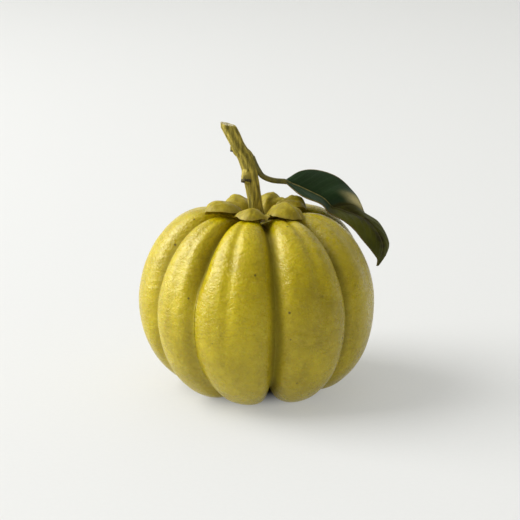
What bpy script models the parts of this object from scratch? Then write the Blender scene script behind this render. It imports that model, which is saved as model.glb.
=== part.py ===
"""A ribbed garcinia fruit as picked: the fruit, its ring of fleshy sepals, the twig and one leaf.

Metres, +Z up. The fruit stands on small flats under its lobes, with the stem's axis upright. Everything is
first built around the stem's axis and moved at the end so that the origin lies on the table under the middle
of the whole. Azimuths are in degrees from the front (-Y), positive towards +X: 90 is the fruit's right side.
"""

import math

import bmesh
import bpy
from mathutils import Vector
from mathutils.bvhtree import BVHTree

MM = 0.001
CLEARANCE = 0.3 * MM

# Fruit body. The crest is the top of a lobe, the foot is where a lobe meets the table.
FRUIT_WIDTH = 75.0 * MM
FRUIT_HEIGHT = 58.0 * MM
EQUATOR_HEIGHT = 29.0 * MM
CREST_RADIUS = 16.0 * MM
FOOT_RADIUS = 14.5 * MM
STEM_PIT_DEPTH = 3.8 * MM
BLOSSOM_PIT_DEPTH = 5.0 * MM
BLOSSOM_END_SHIFT = 0.8 * MM
UPPER_FLANK_POWER = 1.93
LOWER_FLANK_POWER = 2.15
FOOT_FLAT_SINK = 0.45 * MM

# Lobes. A lobe runs from its groove azimuth to the next one. Swells are how far each stands past the others.
GROOVE_AZIMUTHS = (-63.0, -33.5, 9.0, 52.0, 96.0, 142.0, 192.0, 247.0)
LOBE_SWELLS = (0.4 * MM, 0.5 * MM, 0.3 * MM, -0.2 * MM, -0.2 * MM, -1.6 * MM, -1.2 * MM, 0.9 * MM)
GROOVE_DEPTH = 4.2 * MM
GROOVE_FLANK_POWER = 1.8
GROOVE_CREST_DROP = 3.6 * MM
GROOVE_FOOT_RISE = 4.5 * MM
LOBE_ROUNDNESS = 2.1
VALLEY_ROUNDING = 0.16
# How much of its depth each groove keeps on the lower flank.
LOW_GROOVE_SHARES = (0.95, 0.62, 1.0, 0.85, 1.0, 1.0, 0.8, 0.9)
FULL_GROOVES_FROM = 0.9 * FRUIT_HEIGHT
LOW_GROOVES_UP_TO = 0.55 * FRUIT_HEIGHT

# Sepals, all lying on the fruit around the stem: name, azimuth, reach from the axis, width, thickness, and how far
# the tip is curled up.
SEPAL_TWIG_GAP = 0.4 * MM
SEPAL_LIFT = 0.3 * MM
SEPAL_BRIDGE = 1.6 * MM
SEPAL_GAP = 0.5 * MM
SEPAL_CORNER_LIFT = 1.4 * MM
SEPAL_KEEL_ROUNDING = 0.45
SEPAL_TIP_BLUNTNESS = 0.15
SEPAL_WIDEST = 0.45
# Powers that shape a sepal: its side edges, its pointed tip, and how fully and roundly it thins at its ends.
SEPAL_SIDE_POWER = 1.8
SEPAL_TIP_POWER = 0.75
SEPAL_END_POWER = 3
SEPAL_END_ROUNDING = 0.7
# Places felt around a spot to find the skin's high points, and how many pit depths up the sepals clear the twig.
SEPAL_FEELERS = 8
SEPAL_START_DEPTHS = 1.3
SEPALS = (
    ("sepal_front", -10.0, 17.6 * MM, 12.5 * MM, 2.9 * MM, 0.3 * MM),
    ("sepal_front_right", 42.0, 17.8 * MM, 13.5 * MM, 4.0 * MM, 0.0 * MM),
    ("sepal_back_right", 103.0, 15.2 * MM, 12.0 * MM, 4.2 * MM, 0.8 * MM),
    ("sepal_back", 157.0, 15.0 * MM, 12.0 * MM, 4.8 * MM, 0.0 * MM),
    ("sepal_back_left", -136.0, 14.5 * MM, 12.5 * MM, 4.0 * MM, 0.3 * MM),
    ("sepal_left", -58.0, 18.8 * MM, 13.0 * MM, 3.3 * MM, 1.7 * MM),
)

# Twig: how far each point of its middle line lies to the right of the axis and above the stem pit, and its radius.
TWIG_LINE = (
    (0.0 * MM, 0.0 * MM, 2.4 * MM),
    (-0.8 * MM, 3.0 * MM, 2.25 * MM),
    (-1.4 * MM, 7.5 * MM, 2.2 * MM),
    (-2.1 * MM, 11.8 * MM, 2.2 * MM),
    (-3.0 * MM, 16.2 * MM, 2.3 * MM),
    (-4.3 * MM, 19.8 * MM, 2.2 * MM),
    (-6.2 * MM, 23.0 * MM, 1.95 * MM),
    (-7.7 * MM, 26.2 * MM, 1.9 * MM),
    (-9.8 * MM, 30.4 * MM, 1.95 * MM),
)
TWIG_CUT_RISE = 1.3 * MM
TWIG_GAP = 0.05 * MM
# Bumps on the twig: height above the pit, azimuth around the twig, how far it stands out, height and breadth.
TWIG_BUMPS = (
    (14.3 * MM, -45.0, 1.8 * MM, 5.0 * MM, 75.0),
    (22.6 * MM, -80.0, 0.9 * MM, 2.6 * MM, 70.0),
    (19.0 * MM, 90.0, 0.5 * MM, 4.6 * MM, 90.0),
)

BUMP_ROUNDING = 0.7

# Leaf stalk, springing from the twig's right side: its middle line as (right, back, up) from there, and its radius.
STALK_HEIGHT = 16.2 * MM
STALK_LINE = (
    (0.0 * MM, 0.0 * MM, 0.0 * MM, 0.95 * MM),
    (1.3 * MM, 0.3 * MM, -1.5 * MM, 0.85 * MM),
    (2.6 * MM, 0.9 * MM, -3.4 * MM, 0.85 * MM),
    (5.0 * MM, 2.0 * MM, -4.8 * MM, 0.85 * MM),
    (8.6 * MM, 3.0 * MM, -5.4 * MM, 0.85 * MM),
)
# Leaf blade: the midrib as (right, back, up) from the stalk's end, then the near and far margins measured from it.
LEAF_SCALE = 1.0
LEAF_THICKNESS = 0.6 * MM
LEAF_SKIN_GAP = 0.3 * MM
# The midrib's and the tip's thickness as shares of the blade's, and how flat the stalk's end is beside the midrib.
RIB_THICKNESS_SHARE = 1.5
TIP_THICKNESS_SHARE = 0.6
STALK_END_FLATNESS = 0.6
LEAF_MIDRIB = (
    (5.1 * MM, 1.0 * MM, -2.1 * MM),
    (10.4 * MM, 2.0 * MM, -5.1 * MM),
    (14.8 * MM, 2.0 * MM, -8.2 * MM),
    (19.8 * MM, 2.0 * MM, -10.2 * MM),
    (25.0 * MM, 2.0 * MM, -12.4 * MM),
    (29.0 * MM, 2.0 * MM, -16.2 * MM),
    (31.2 * MM, 1.2 * MM, -20.6 * MM),
    (30.8 * MM, 0.4 * MM, -24.4 * MM),
    (29.8 * MM, 0.0 * MM, -27.6 * MM),
)
LEAF_NEAR_MARGIN = (
    (0.0 * MM, -5.6 * MM, -1.3 * MM),
    (0.2 * MM, -7.4 * MM, -0.95 * MM),
    (-0.6 * MM, -6.8 * MM, -0.7 * MM),
    (-1.9 * MM, -6.4 * MM, -1.2 * MM),
    (-2.7 * MM, -5.6 * MM, -2.9 * MM),
    (-3.2 * MM, -4.2 * MM, -3.5 * MM),
    (-3.0 * MM, -2.4 * MM, -2.7 * MM),
    (-1.2 * MM, -0.9 * MM, -1.0 * MM),
    (-0.3 * MM, -0.2 * MM, 0.0 * MM),
)
LEAF_FAR_MARGIN = (
    (0.1 * MM, 5.0 * MM, 4.2 * MM),
    (0.6 * MM, 8.0 * MM, 6.8 * MM),
    (2.4 * MM, 9.0 * MM, 7.2 * MM),
    (2.7 * MM, 8.0 * MM, 4.2 * MM),
    (0.2 * MM, 6.0 * MM, 1.4 * MM),
    (1.6 * MM, 4.2 * MM, 0.8 * MM),
    (2.5 * MM, 2.8 * MM, -0.4 * MM),
    (1.4 * MM, 1.2 * MM, -0.6 * MM),
    (0.3 * MM, 0.2 * MM, 0.0 * MM),
)

# Dried blossom scar in the pit under the fruit.
SCAR_RADIUS = 3.2 * MM
SCAR_THICKNESS = 1.4 * MM
SCAR_RAYS = 8
SCAR_RAY_DEPTH = 0.08
SCAR_GAP = 1.0 * MM

# Mesh fineness.
STEPS_PER_LOBE = 10
PIT_STEPS = 5
FLANK_STEPS = 12
SEPAL_STEPS_LONG = 10
SEPAL_STEPS_ACROSS = 8
TWIG_SIDES = 18
TWIG_STEPS = 3
STALK_STEPS = 2
LEAF_STEPS = 2
SIDES_PER_RAY = 3
SCAR_RINGS = 3
# Steps between the twig's points where a place on it is looked up, and passes that move the leaf off the skin.
FINE_STEPS = 12
DRAPE_PASSES = 6
# Points across a section of the leaf blade, as shares of the way from the midrib to a margin.
BLADE_SHARES = (1.0, 0.68, 0.36, 0.0, 0.36, 0.68, 1.0)
LEAF_SIDES = 2 * (len(BLADE_SHARES) - 1)


def superellipse(share, power):
    """(across, up) of a quarter superellipse, from (1, 0) at share 0 to (0, 1) at share 1."""
    angle = share * math.pi / 2
    return max(0.0, math.cos(angle)) ** (2 / power), math.sin(angle) ** (2 / power)


def profile(widest, crest, floor, upper_power, lower_power):
    """(radius, height) along one meridian, from the blossom pit round the flank to the stem pit."""
    stem_bottom = FRUIT_HEIGHT - STEM_PIT_DEPTH
    points = []
    for i in range(PIT_STEPS):
        share = i / PIT_STEPS
        wave = (1 + math.cos(math.pi * share)) / 2
        points.append((FOOT_RADIUS * share, floor + (BLOSSOM_PIT_DEPTH - floor) * wave))
    for i in range(FLANK_STEPS):
        across, up = superellipse(1 - i / FLANK_STEPS, lower_power)
        radius = FOOT_RADIUS + (widest - FOOT_RADIUS) * across
        points.append((radius, EQUATOR_HEIGHT - (EQUATOR_HEIGHT - floor) * up))
    for i in range(FLANK_STEPS):
        across, up = superellipse(i / FLANK_STEPS, upper_power)
        radius = CREST_RADIUS + (widest - CREST_RADIUS) * across
        points.append((radius, EQUATOR_HEIGHT + (crest - EQUATOR_HEIGHT) * up))
    for i in range(PIT_STEPS + 1):
        share = 1 - i / PIT_STEPS
        wave = (1 + math.cos(math.pi * share)) / 2
        points.append((CREST_RADIUS * share, crest - (crest - stem_bottom) * wave))
    return points


def groove_profile():
    return profile(
        FRUIT_WIDTH / 2 - GROOVE_DEPTH,
        FRUIT_HEIGHT - GROOVE_CREST_DROP,
        GROOVE_FOOT_RISE,
        GROOVE_FLANK_POWER,
        GROOVE_FLANK_POWER,
    )


def off_axis(height):
    """How far to the right of the stem's axis the body's middle lies: the blossom end is off to one side."""
    return BLOSSOM_END_SHIFT * max(0.0, 1 - height / EQUATOR_HEIGHT) ** 2


def lobe_fullness(phase):
    """How far out a lobe stands across its width: 0 in the grooves at phase -1 and 1, and 1 on its ridge."""
    inside = 1 - abs(phase)
    arch = (1 - abs(phase) ** LOBE_ROUNDNESS) ** (1 / LOBE_ROUNDNESS)
    return arch * math.tanh(inside / VALLEY_ROUNDING)


def groove_share(lobe, phase, height):
    """How much of the full groove depth there is at a place on a lobe."""
    share = (1 + phase) / 2
    low = LOW_GROOVE_SHARES[lobe] * (1 - share) + LOW_GROOVE_SHARES[(lobe + 1) % len(LOW_GROOVE_SHARES)] * share
    rise = min(1.0, max(0.0, (height - LOW_GROOVES_UP_TO) / (FULL_GROOVES_FROM - LOW_GROOVES_UP_TO)))
    return low + (1 - low) * rise * rise * (3 - 2 * rise)


def fruit_mesh():
    groove = groove_profile()
    rows = len(groove)
    rings = [[] for _ in range(rows)]
    mesh = bmesh.new()
    for lobe, start in enumerate(GROOVE_AZIMUTHS):
        end = GROOVE_AZIMUTHS[(lobe + 1) % len(GROOVE_AZIMUTHS)]
        width = (end - start) % 360
        swell = LOBE_SWELLS[lobe]
        ridge = profile(
            FRUIT_WIDTH / 2 + swell, FRUIT_HEIGHT + swell, -FOOT_FLAT_SINK, UPPER_FLANK_POWER, LOWER_FLANK_POWER
        )
        for step in range(STEPS_PER_LOBE):
            phase = -math.cos(math.pi * step / STEPS_PER_LOBE)
            azimuth = math.radians(start + width * (1 + phase) / 2)
            full = lobe_fullness(phase)
            for row in range(1, rows - 1):
                dip = (1 - full) * groove_share(lobe, phase, ridge[row][1])
                radius = ridge[row][0] + (groove[row][0] - ridge[row][0]) * dip
                height = max(0.0, ridge[row][1] + (groove[row][1] - ridge[row][1]) * dip)
                point = (radius * math.sin(azimuth) + off_axis(height), -radius * math.cos(azimuth), height)
                rings[row].append(mesh.verts.new(point))
    blossom = mesh.verts.new((off_axis(BLOSSOM_PIT_DEPTH), 0, BLOSSOM_PIT_DEPTH))
    stem = mesh.verts.new((0, 0, FRUIT_HEIGHT - STEM_PIT_DEPTH))
    count = len(rings[1])
    for i in range(count):
        j = (i + 1) % count
        mesh.faces.new((blossom, rings[1][j], rings[1][i]))
        for row in range(1, rows - 2):
            mesh.faces.new((rings[row][i], rings[row][j], rings[row + 1][j], rings[row + 1][i]))
        mesh.faces.new((rings[rows - 2][i], rings[rows - 2][j], stem))
    return mesh


def sepal_room(azimuth, side):
    """Angle from a sepal's middle to the plane halfway to its neighbour on one side (-1 left, 1 right)."""
    turns = [(side * (other[1] - azimuth)) % 360 for other in SEPALS if other[1] != azimuth]
    return math.radians(min(turns) / 2)


def bridged_height(skin, spot):
    """Height of the skin's high points around a spot: a sepal lies across a groove and doesn't dip into it."""
    around = [2 * math.pi * k / SEPAL_FEELERS for k in range(SEPAL_FEELERS)]
    feelers = [Vector((math.cos(turn), math.sin(turn), 0)) * SEPAL_BRIDGE for turn in around]
    heights = []
    for feeler in [Vector(), *feelers]:
        above = Vector((spot.x + feeler.x, spot.y + feeler.y, 2 * FRUIT_HEIGHT))
        heights.append(skin.ray_cast(above, Vector((0, 0, -1)))[0].z)
    return max(heights)


def sepal_start():
    """Radius where the sepals begin, clear of the twig as far up as the stem pit is deep and a little more."""
    line = smooth_line(TWIG_LINE, FINE_STEPS)
    top = SEPAL_START_DEPTHS * STEM_PIT_DEPTH
    return SEPAL_TWIG_GAP + max(abs(right) + radius for right, up, radius in line if up <= top)


def sepal_outline(share):
    """Half width of a sepal, as a share of its widest, from the stem end at 0 to the tip at 1."""
    tip = max(0.0, (share - SEPAL_WIDEST) / (1 - SEPAL_WIDEST))
    return SEPAL_TIP_BLUNTNESS + (1 - SEPAL_TIP_BLUNTNESS) * (1 - tip**SEPAL_SIDE_POWER) ** SEPAL_TIP_POWER


def sepal_ends(share):
    """How much of its thickness a sepal has along its length: none at either end and all of it in the middle."""
    return max(0.0, 1 - abs(2 * share - 1) ** SEPAL_END_POWER) ** SEPAL_END_ROUNDING


def keel(across):
    """Height across a sepal, from 0 at the edges to 1 on the rounded keel along its middle."""
    low = (1 + SEPAL_KEEL_ROUNDING**2) ** 0.5
    return (low - (across**2 + SEPAL_KEEL_ROUNDING**2) ** 0.5) / (low - SEPAL_KEEL_ROUNDING)


def sepal_mesh(skin, azimuth, reach, width, thickness, tip_rise):
    """A plump keeled lens lying on the skin, narrow at the stem, pointed at the tip, its side corners raised."""
    start = sepal_start()
    angle = math.radians(azimuth)
    outward = Vector((math.sin(angle), -math.cos(angle), 0))
    sideways = Vector((math.cos(angle), math.sin(angle), 0))
    rooms = {side: sepal_room(azimuth, side) for side in (-1, 1)}
    mesh = bmesh.new()
    top = []
    bottom = []
    for i in range(SEPAL_STEPS_LONG + 1):
        along = i / SEPAL_STEPS_LONG
        share = (1 - math.cos(math.pi * along)) / 2
        radius = start + (reach - start) * share
        half = width / 2 * sepal_outline(share)
        top_row = []
        bottom_row = []
        for j in range(SEPAL_STEPS_ACROSS + 1):
            across = -math.cos(math.pi * j / SEPAL_STEPS_ACROSS)
            side = 1 if across > 0 else -1
            room = radius * math.tan(rooms[side]) - SEPAL_GAP / 2 / math.cos(rooms[side])
            spot = outward * radius + sideways * (across * min(half, room))
            foot = bridged_height(skin, spot) + SEPAL_LIFT
            foot += SEPAL_CORNER_LIFT * across * across * math.sin(math.pi * share) + tip_rise * share * share
            rise = thickness * keel(across) * sepal_ends(share)
            edge = i in (0, SEPAL_STEPS_LONG) or j in (0, SEPAL_STEPS_ACROSS)
            low = mesh.verts.new((spot.x, spot.y, foot))
            bottom_row.append(low)
            top_row.append(low if edge else mesh.verts.new((spot.x, spot.y, foot + rise)))
        top.append(top_row)
        bottom.append(bottom_row)
    for i in range(SEPAL_STEPS_LONG):
        for j in range(SEPAL_STEPS_ACROSS):
            mesh.faces.new((top[i][j], top[i][j + 1], top[i + 1][j + 1], top[i + 1][j]))
            mesh.faces.new((bottom[i][j], bottom[i + 1][j], bottom[i + 1][j + 1], bottom[i][j + 1]))
    return mesh


def smooth_line(points, steps):
    """Points on a Catmull-Rom curve through the given ones, steps between each pair."""
    points = [Vector(point) for point in points]
    padded = [points[0] * 2 - points[1], *points, points[-1] * 2 - points[-2]]
    line = []
    for i in range(len(points) - 1):
        p0, p1, p2, p3 = padded[i : i + 4]
        for step in range(steps):
            t = step / steps
            bend = p0 * 2 - p1 * 5 + p2 * 4 - p3
            twist = p1 * 3 - p0 - p2 * 3 + p3
            line.append((p1 * 2 + (p2 - p0) * t + bend * t**2 + twist * t**3) / 2)
    return [*line, points[-1]]


def skin_rings(mesh, rings):
    """A closed solid from rings of points, each end closed with a fan."""
    made = [[mesh.verts.new(point) for point in ring] for ring in rings]
    for first, second in zip(made, made[1:]):
        for i in range(len(first)):
            j = (i + 1) % len(first)
            mesh.faces.new((first[i], first[j], second[j], second[i]))
    for ring in (made[0], made[-1]):
        middle = mesh.verts.new(sum((vert.co for vert in ring), Vector()) / len(ring))
        for i in range(len(ring)):
            mesh.faces.new((ring[i], ring[(i + 1) % len(ring)], middle))
    return mesh


def twig_bump(height, around):
    """How far the twig's bark stands out at a height above the pit and an azimuth around the twig, in radians."""
    out = 0.0
    for centre, azimuth, size, tall, broad in TWIG_BUMPS:
        turn = (math.degrees(around) - azimuth + 180) % 360 - 180
        if abs(turn) < broad / 2 and abs(height - centre) < tall / 2:
            lengthwise = math.cos(math.pi * (height - centre) / tall) ** BUMP_ROUNDING
            out += size * math.cos(math.pi * turn / broad) * lengthwise
    return out


def twig_foot():
    """Height of the twig's foot. The pit's skin rises evenly over its first step, which reaches past the foot."""
    first_step = CREST_RADIUS / PIT_STEPS
    first_rise = STEM_PIT_DEPTH * (1 - math.cos(math.pi / PIT_STEPS)) / 2
    return FRUIT_HEIGHT - STEM_PIT_DEPTH + first_rise * TWIG_LINE[0][2] / first_step + TWIG_GAP


def twig_mesh():
    base = twig_foot()
    line = smooth_line(TWIG_LINE, TWIG_STEPS)
    rings = []
    for i, (right, up, radius) in enumerate(line):
        before, after = line[max(i - 1, 0)], line[min(i + 1, len(line) - 1)]
        slope = math.atan2(after[0] - before[0], after[1] - before[1]) if i else 0.0
        cut = i == len(line) - 1
        ring = []
        for side in range(TWIG_SIDES):
            around = 2 * math.pi * side / TWIG_SIDES
            out = radius + twig_bump(up, around)
            east = out * math.sin(around)
            rise = -TWIG_CUT_RISE * math.sin(around) / 2 if cut else -east * math.sin(slope)
            ring.append((right + east * (1 if cut else math.cos(slope)), -out * math.cos(around), base + up + rise))
        rings.append(ring)
    return skin_rings(bmesh.new(), rings)


def twig_side():
    """Where the leaf stalk springs: a point clear of the bark on the twig's right, and the way out from the twig."""
    line = smooth_line(TWIG_LINE, FINE_STEPS)
    i = min(range(1, len(line) - 1), key=lambda k: abs(line[k][1] - STALK_HEIGHT))
    slope = math.atan2(line[i + 1][0] - line[i - 1][0], line[i + 1][1] - line[i - 1][1])
    out = Vector((math.cos(slope), 0, -math.sin(slope)))
    reach = line[i][2] + twig_bump(line[i][1], math.pi / 2) + CLEARANCE
    base = twig_foot()
    return Vector((line[i][0], 0, base + line[i][1])) + out * reach, out


def draped(ring, skin):
    """A section of the leaf, moved bodily off the fruit where it would come closer than the clearance."""
    for _ in range(DRAPE_PASSES):
        pushes = []
        for point in ring:
            spot, normal = skin.find_nearest(point)[:2]
            gap = (point - spot).dot(normal)
            if gap < LEAF_SKIN_GAP:
                pushes.append(normal * (LEAF_SKIN_GAP - gap))
        if not pushes:
            break
        push = max(pushes, key=lambda vector: vector.length)
        ring = [point + push for point in ring]
    return ring


def upward(direction):
    """The same direction, turned over if it points down."""
    return -direction if direction.z < 0 else direction


def stalk_rings(stalk, radii, out):
    """Round sections of the leaf stalk, the first one facing out from the twig."""
    rings = []
    for i, middle in enumerate(stalk):
        run = (stalk[i + 1] - stalk[i - 1]).normalized() if 0 < i < len(stalk) - 1 else out
        up = upward(Vector((0, 1, 0)).cross(run).normalized())
        level = run.cross(up)
        if level.y > 0:
            level.negate()
        turns = [2 * math.pi * side / LEAF_SIDES for side in range(LEAF_SIDES)]
        rings.append([middle + (level * math.cos(turn) + up * math.sin(turn)) * radii[i][0] for turn in turns])
    return rings


def section_lifts(open_share, last):
    """How far each point of a blade section, from the near margin to the far one, stands off the section's middle."""
    thick = LEAF_THICKNESS / 2
    if last:
        return (0.0, *[thick * TIP_THICKNESS_SHARE] * (LEAF_SIDES // 2 - 1), 0.0)
    stalk_end = STALK_LINE[-1][3]
    rib = stalk_end + (thick * RIB_THICKNESS_SHARE - stalk_end) * open_share
    half = stalk_end * STALK_END_FLATNESS
    half += (thick - half) * open_share
    return (0.0, half, half, rib, half, half, 0.0)


def blade_rings(end):
    """Sections of the blade, which opens out of the stalk's end."""
    tip_radius = STALK_LINE[-1][3]
    midrib = smooth_line([end, *(end + Vector(p) * LEAF_SCALE for p in LEAF_MIDRIB)], LEAF_STEPS)
    near = smooth_line([(0, -tip_radius, 0), *(Vector(p) * LEAF_SCALE for p in LEAF_NEAR_MARGIN)], LEAF_STEPS)
    far = smooth_line([(0, tip_radius, 0), *(Vector(p) * LEAF_SCALE for p in LEAF_FAR_MARGIN)], LEAF_STEPS)
    rings = []
    for i, middle in enumerate(midrib):
        run = (midrib[min(i + 1, len(midrib) - 1)] - midrib[max(i - 1, 0)]).normalized()
        up = upward((far[i] - near[i]).cross(run).normalized())
        lifts = section_lifts(min(1.0, i / LEAF_STEPS), i == len(midrib) - 1)
        ring = []
        for k in range(LEAF_SIDES):
            place = min(k, LEAF_SIDES - k)
            reach = near[i] if place < len(BLADE_SHARES) // 2 else far[i]
            lift = lifts[place] if k == place else -lifts[place]
            ring.append(middle + reach * BLADE_SHARES[place] + up * lift)
        rings.append(ring)
    return rings


def leaf_mesh(skin):
    """The stalk's round section flattens and widens into the blade; one ring of points runs round every section."""
    start, out = twig_side()
    stalk = smooth_line([start + Vector(point[:3]) for point in STALK_LINE], STALK_STEPS)
    radii = smooth_line([(point[3], 0, 0) for point in STALK_LINE], STALK_STEPS)
    rings = stalk_rings(stalk, radii, out)[:-1] + blade_rings(stalk[-1])
    return skin_rings(bmesh.new(), [draped(ring, skin) for ring in rings])


def scar_mesh():
    """A small lobed button under the ceiling of the blossom pit."""
    centre = Vector((off_axis(BLOSSOM_PIT_DEPTH), 0, BLOSSOM_PIT_DEPTH - SCAR_GAP - SCAR_THICKNESS / 2))
    sides = SCAR_RAYS * SIDES_PER_RAY
    rings = []
    for share in range(1, SCAR_RINGS + 1):
        angle = math.pi * share / (SCAR_RINGS + 1)
        ring = []
        for side in range(sides):
            around = 2 * math.pi * side / sides
            ray = 1 - SCAR_RAY_DEPTH + SCAR_RAY_DEPTH * math.cos(SCAR_RAYS * around)
            radius = SCAR_RADIUS * ray * math.sin(angle)
            height = -SCAR_THICKNESS / 2 * math.cos(angle)
            ring.append(centre + Vector((radius * math.sin(around), -radius * math.cos(around), height)))
        rings.append(ring)
    return skin_rings(bmesh.new(), rings)


def plain_material(name, color, roughness):
    made = bpy.data.materials.new(name)
    made.use_nodes = True
    shader = made.node_tree.nodes["Principled BSDF"]
    shader.inputs["Base Color"].default_value = (*color, 1)
    shader.inputs["Roughness"].default_value = roughness
    return made


def skin_material():
    return plain_material("fruit", (0.47, 0.36, 0.04), 0.4)


def sepal_material(name):
    return plain_material(name, (0.32, 0.25, 0.05), 0.6)


def bark_material():
    return plain_material("twig", (0.16, 0.13, 0.04), 0.75)


def leaf_material():
    return plain_material("leaf", (0.025, 0.06, 0.02), 0.4)


def scar_material():
    return plain_material("blossom_scar", (0.06, 0.035, 0.015), 0.85)


def add_object(name, mesh, material):
    data = bpy.data.meshes.new(name)
    bmesh.ops.recalc_face_normals(mesh, faces=mesh.faces)
    mesh.to_mesh(data)
    mesh.free()
    data.shade_smooth()
    data.materials.append(material)
    made = bpy.data.objects.new(name, data)
    bpy.context.scene.collection.objects.link(made)
    return made


for old in list(bpy.data.objects):
    bpy.data.objects.remove(old)

body = fruit_mesh()
bmesh.ops.recalc_face_normals(body, faces=body.faces)
skin = BVHTree.FromBMesh(body)
pieces = [add_object("fruit", body, skin_material())]
for name, *sizes in SEPALS:
    pieces.append(add_object(name, sepal_mesh(skin, *sizes), sepal_material(name)))
pieces.append(add_object("twig", twig_mesh(), bark_material()))
pieces.append(add_object("leaf", leaf_mesh(skin), leaf_material()))
pieces.append(add_object("blossom_scar", scar_mesh(), scar_material()))

corners = [vert.co for piece in pieces for vert in piece.data.vertices]
middle = [(min(co[axis] for co in corners) + max(co[axis] for co in corners)) / 2 for axis in (0, 1)]
SHIFT = (-middle[0], -middle[1])
for piece in pieces:
    for vert in piece.data.vertices:
        vert.co.x += SHIFT[0]
        vert.co.y += SHIFT[1]
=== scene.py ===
"""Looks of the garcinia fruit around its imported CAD.

The fruit has a waxy ribbed skin, fleshy sepals, a woody twig and a glossy, sharply bent leaf.
"""

import math

import bmesh
import bpy
import numpy as np
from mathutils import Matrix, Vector, noise
from mathutils.bvhtree import BVHTree


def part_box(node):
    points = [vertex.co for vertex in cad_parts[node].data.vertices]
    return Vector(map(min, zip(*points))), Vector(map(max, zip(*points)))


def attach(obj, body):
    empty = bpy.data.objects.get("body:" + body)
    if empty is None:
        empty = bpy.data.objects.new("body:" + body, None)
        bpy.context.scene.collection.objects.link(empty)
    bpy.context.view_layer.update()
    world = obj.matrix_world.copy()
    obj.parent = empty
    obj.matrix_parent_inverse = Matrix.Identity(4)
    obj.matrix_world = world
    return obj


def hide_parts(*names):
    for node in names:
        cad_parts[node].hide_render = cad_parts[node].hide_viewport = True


MM = 0.001

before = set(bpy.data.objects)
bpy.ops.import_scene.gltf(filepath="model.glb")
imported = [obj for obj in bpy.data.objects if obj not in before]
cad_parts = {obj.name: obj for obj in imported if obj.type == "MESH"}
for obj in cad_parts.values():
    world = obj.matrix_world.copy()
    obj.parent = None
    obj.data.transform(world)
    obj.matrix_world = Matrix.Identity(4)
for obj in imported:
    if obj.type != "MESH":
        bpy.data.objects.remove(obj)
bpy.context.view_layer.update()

# Fruit body: the CAD's shape in finer steps, with rounder valleys between the lobes.
FRUIT_WIDTH = 75.0 * MM
FRUIT_HEIGHT = 58.0 * MM
EQUATOR_HEIGHT = 29.0 * MM
CREST_RADIUS = 16.0 * MM
FOOT_RADIUS = 14.5 * MM
STEM_PIT_DEPTH = 3.8 * MM
BLOSSOM_PIT_DEPTH = 5.0 * MM
BLOSSOM_END_SHIFT = 0.8 * MM
UPPER_FLANK_POWER = 1.93
LOWER_FLANK_POWER = 2.15
FOOT_FLAT_SINK = 0.45 * MM
GROOVE_AZIMUTHS = (-63.0, -33.5, 9.0, 52.0, 96.0, 142.0, 192.0, 247.0)
LOBE_SWELLS = (0.4 * MM, 0.5 * MM, 0.3 * MM, -0.2 * MM, -0.2 * MM, -1.6 * MM, -1.2 * MM, 0.9 * MM)
GROOVE_DEPTH = 4.2 * MM
GROOVE_FLANK_POWER = 1.8
GROOVE_CREST_DROP = 3.6 * MM
GROOVE_FOOT_RISE = 4.5 * MM
LOBE_ROUNDNESS = 2.1
VALLEY_ROUNDING = 0.2
# How much of its depth each groove keeps low down, and between which shares of the fruit's height it gets the rest
# back.
LOW_GROOVE_SHARES = (0.9, 0.5, 1.0, 0.85, 1.0, 1.0, 0.8, 0.9)
LOW_GROOVES_UP_TO = 0.55
FULL_GROOVES_FROM = 0.9

# Shallow secondary ribs: where across its lobe each dent runs (-1 to 1), how deep it is and how broad.
LOBE_DENTS = (
    (0.25, 0.35 * MM, 0.22),
    (-0.12, 0.60 * MM, 0.13),
    (0.06, 0.75 * MM, 0.15),
    (-0.15, 0.40 * MM, 0.20),
    (0.20, 0.40 * MM, 0.20),
    (-0.10, 0.50 * MM, 0.20),
    (0.15, 0.40 * MM, 0.22),
    (-0.20, 0.45 * MM, 0.20),
)
# A dent sets in between two heights and ends at a radius near the stem; it goes down by a share of what it goes in.
DENT_START_HEIGHT = 0.35 * FRUIT_HEIGHT
DENT_FULL_HEIGHT = 0.75 * FRUIT_HEIGHT
DENT_END_RADIUS = 0.3 * CREST_RADIUS
DENT_DROP_SHARE = 0.6

# The skin lies a margin inside the CAD and its lumps sink further in: their depth, then each size and its share.
SKIN_MARGIN = 0.10 * MM
SKIN_LUMPS = 0.45 * MM
SKIN_LUMP_SIZES = ((16 * MM, 0.65), (6 * MM, 0.35))
# The skin follows the CAD up to the first height, so that the feet stay flat, and is free of it from the second on.
SKIN_HELD_UP_TO = 0.5 * MM
SKIN_FREE_FROM = 6 * MM

# Russet on the shoulder beside the leaf, partly a painted reflection in pale grey: direction and breadth in
# degrees, and the shares of the fruit's height between which it sets in.
RUSSET_AZIMUTH = 48
RUSSET_BREADTH = 16
RUSSET_RISE = (0.72, 0.95)

SEPAL_TWIG_GAP = 0.4 * MM
SEPAL_LIFT = 0.25 * MM
SEPAL_BRIDGE = 1.6 * MM
SEPAL_FEELERS = 8
SEPAL_GAP = 0.35 * MM
SEPAL_START_DEPTHS = 1.3
SEPAL_CORNER_LIFT = 1.4 * MM
SEPAL_KEEL_ROUNDING = 0.45
SEPAL_TIP_BLUNTNESS = 0.15
SEPAL_SIDE_POWER = 1.8
SEPAL_TIP_POWER = 0.75
SEPAL_END_POWER = 3
SEPAL_END_ROUNDING = 0.7
SEPAL_RIM = 0.3 * MM
SEPAL_RIM_POWER = 8
# The flesh's thickness as shares of the full one: its level, then the size and share of each kind of lump.
SEPAL_FULLNESS = 0.98
SEPAL_LUMP_SIZES = ((3.0 * MM, 0.14), (1.1 * MM, 0.05))
SEPAL_LUMP_STEP = 0.01
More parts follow.
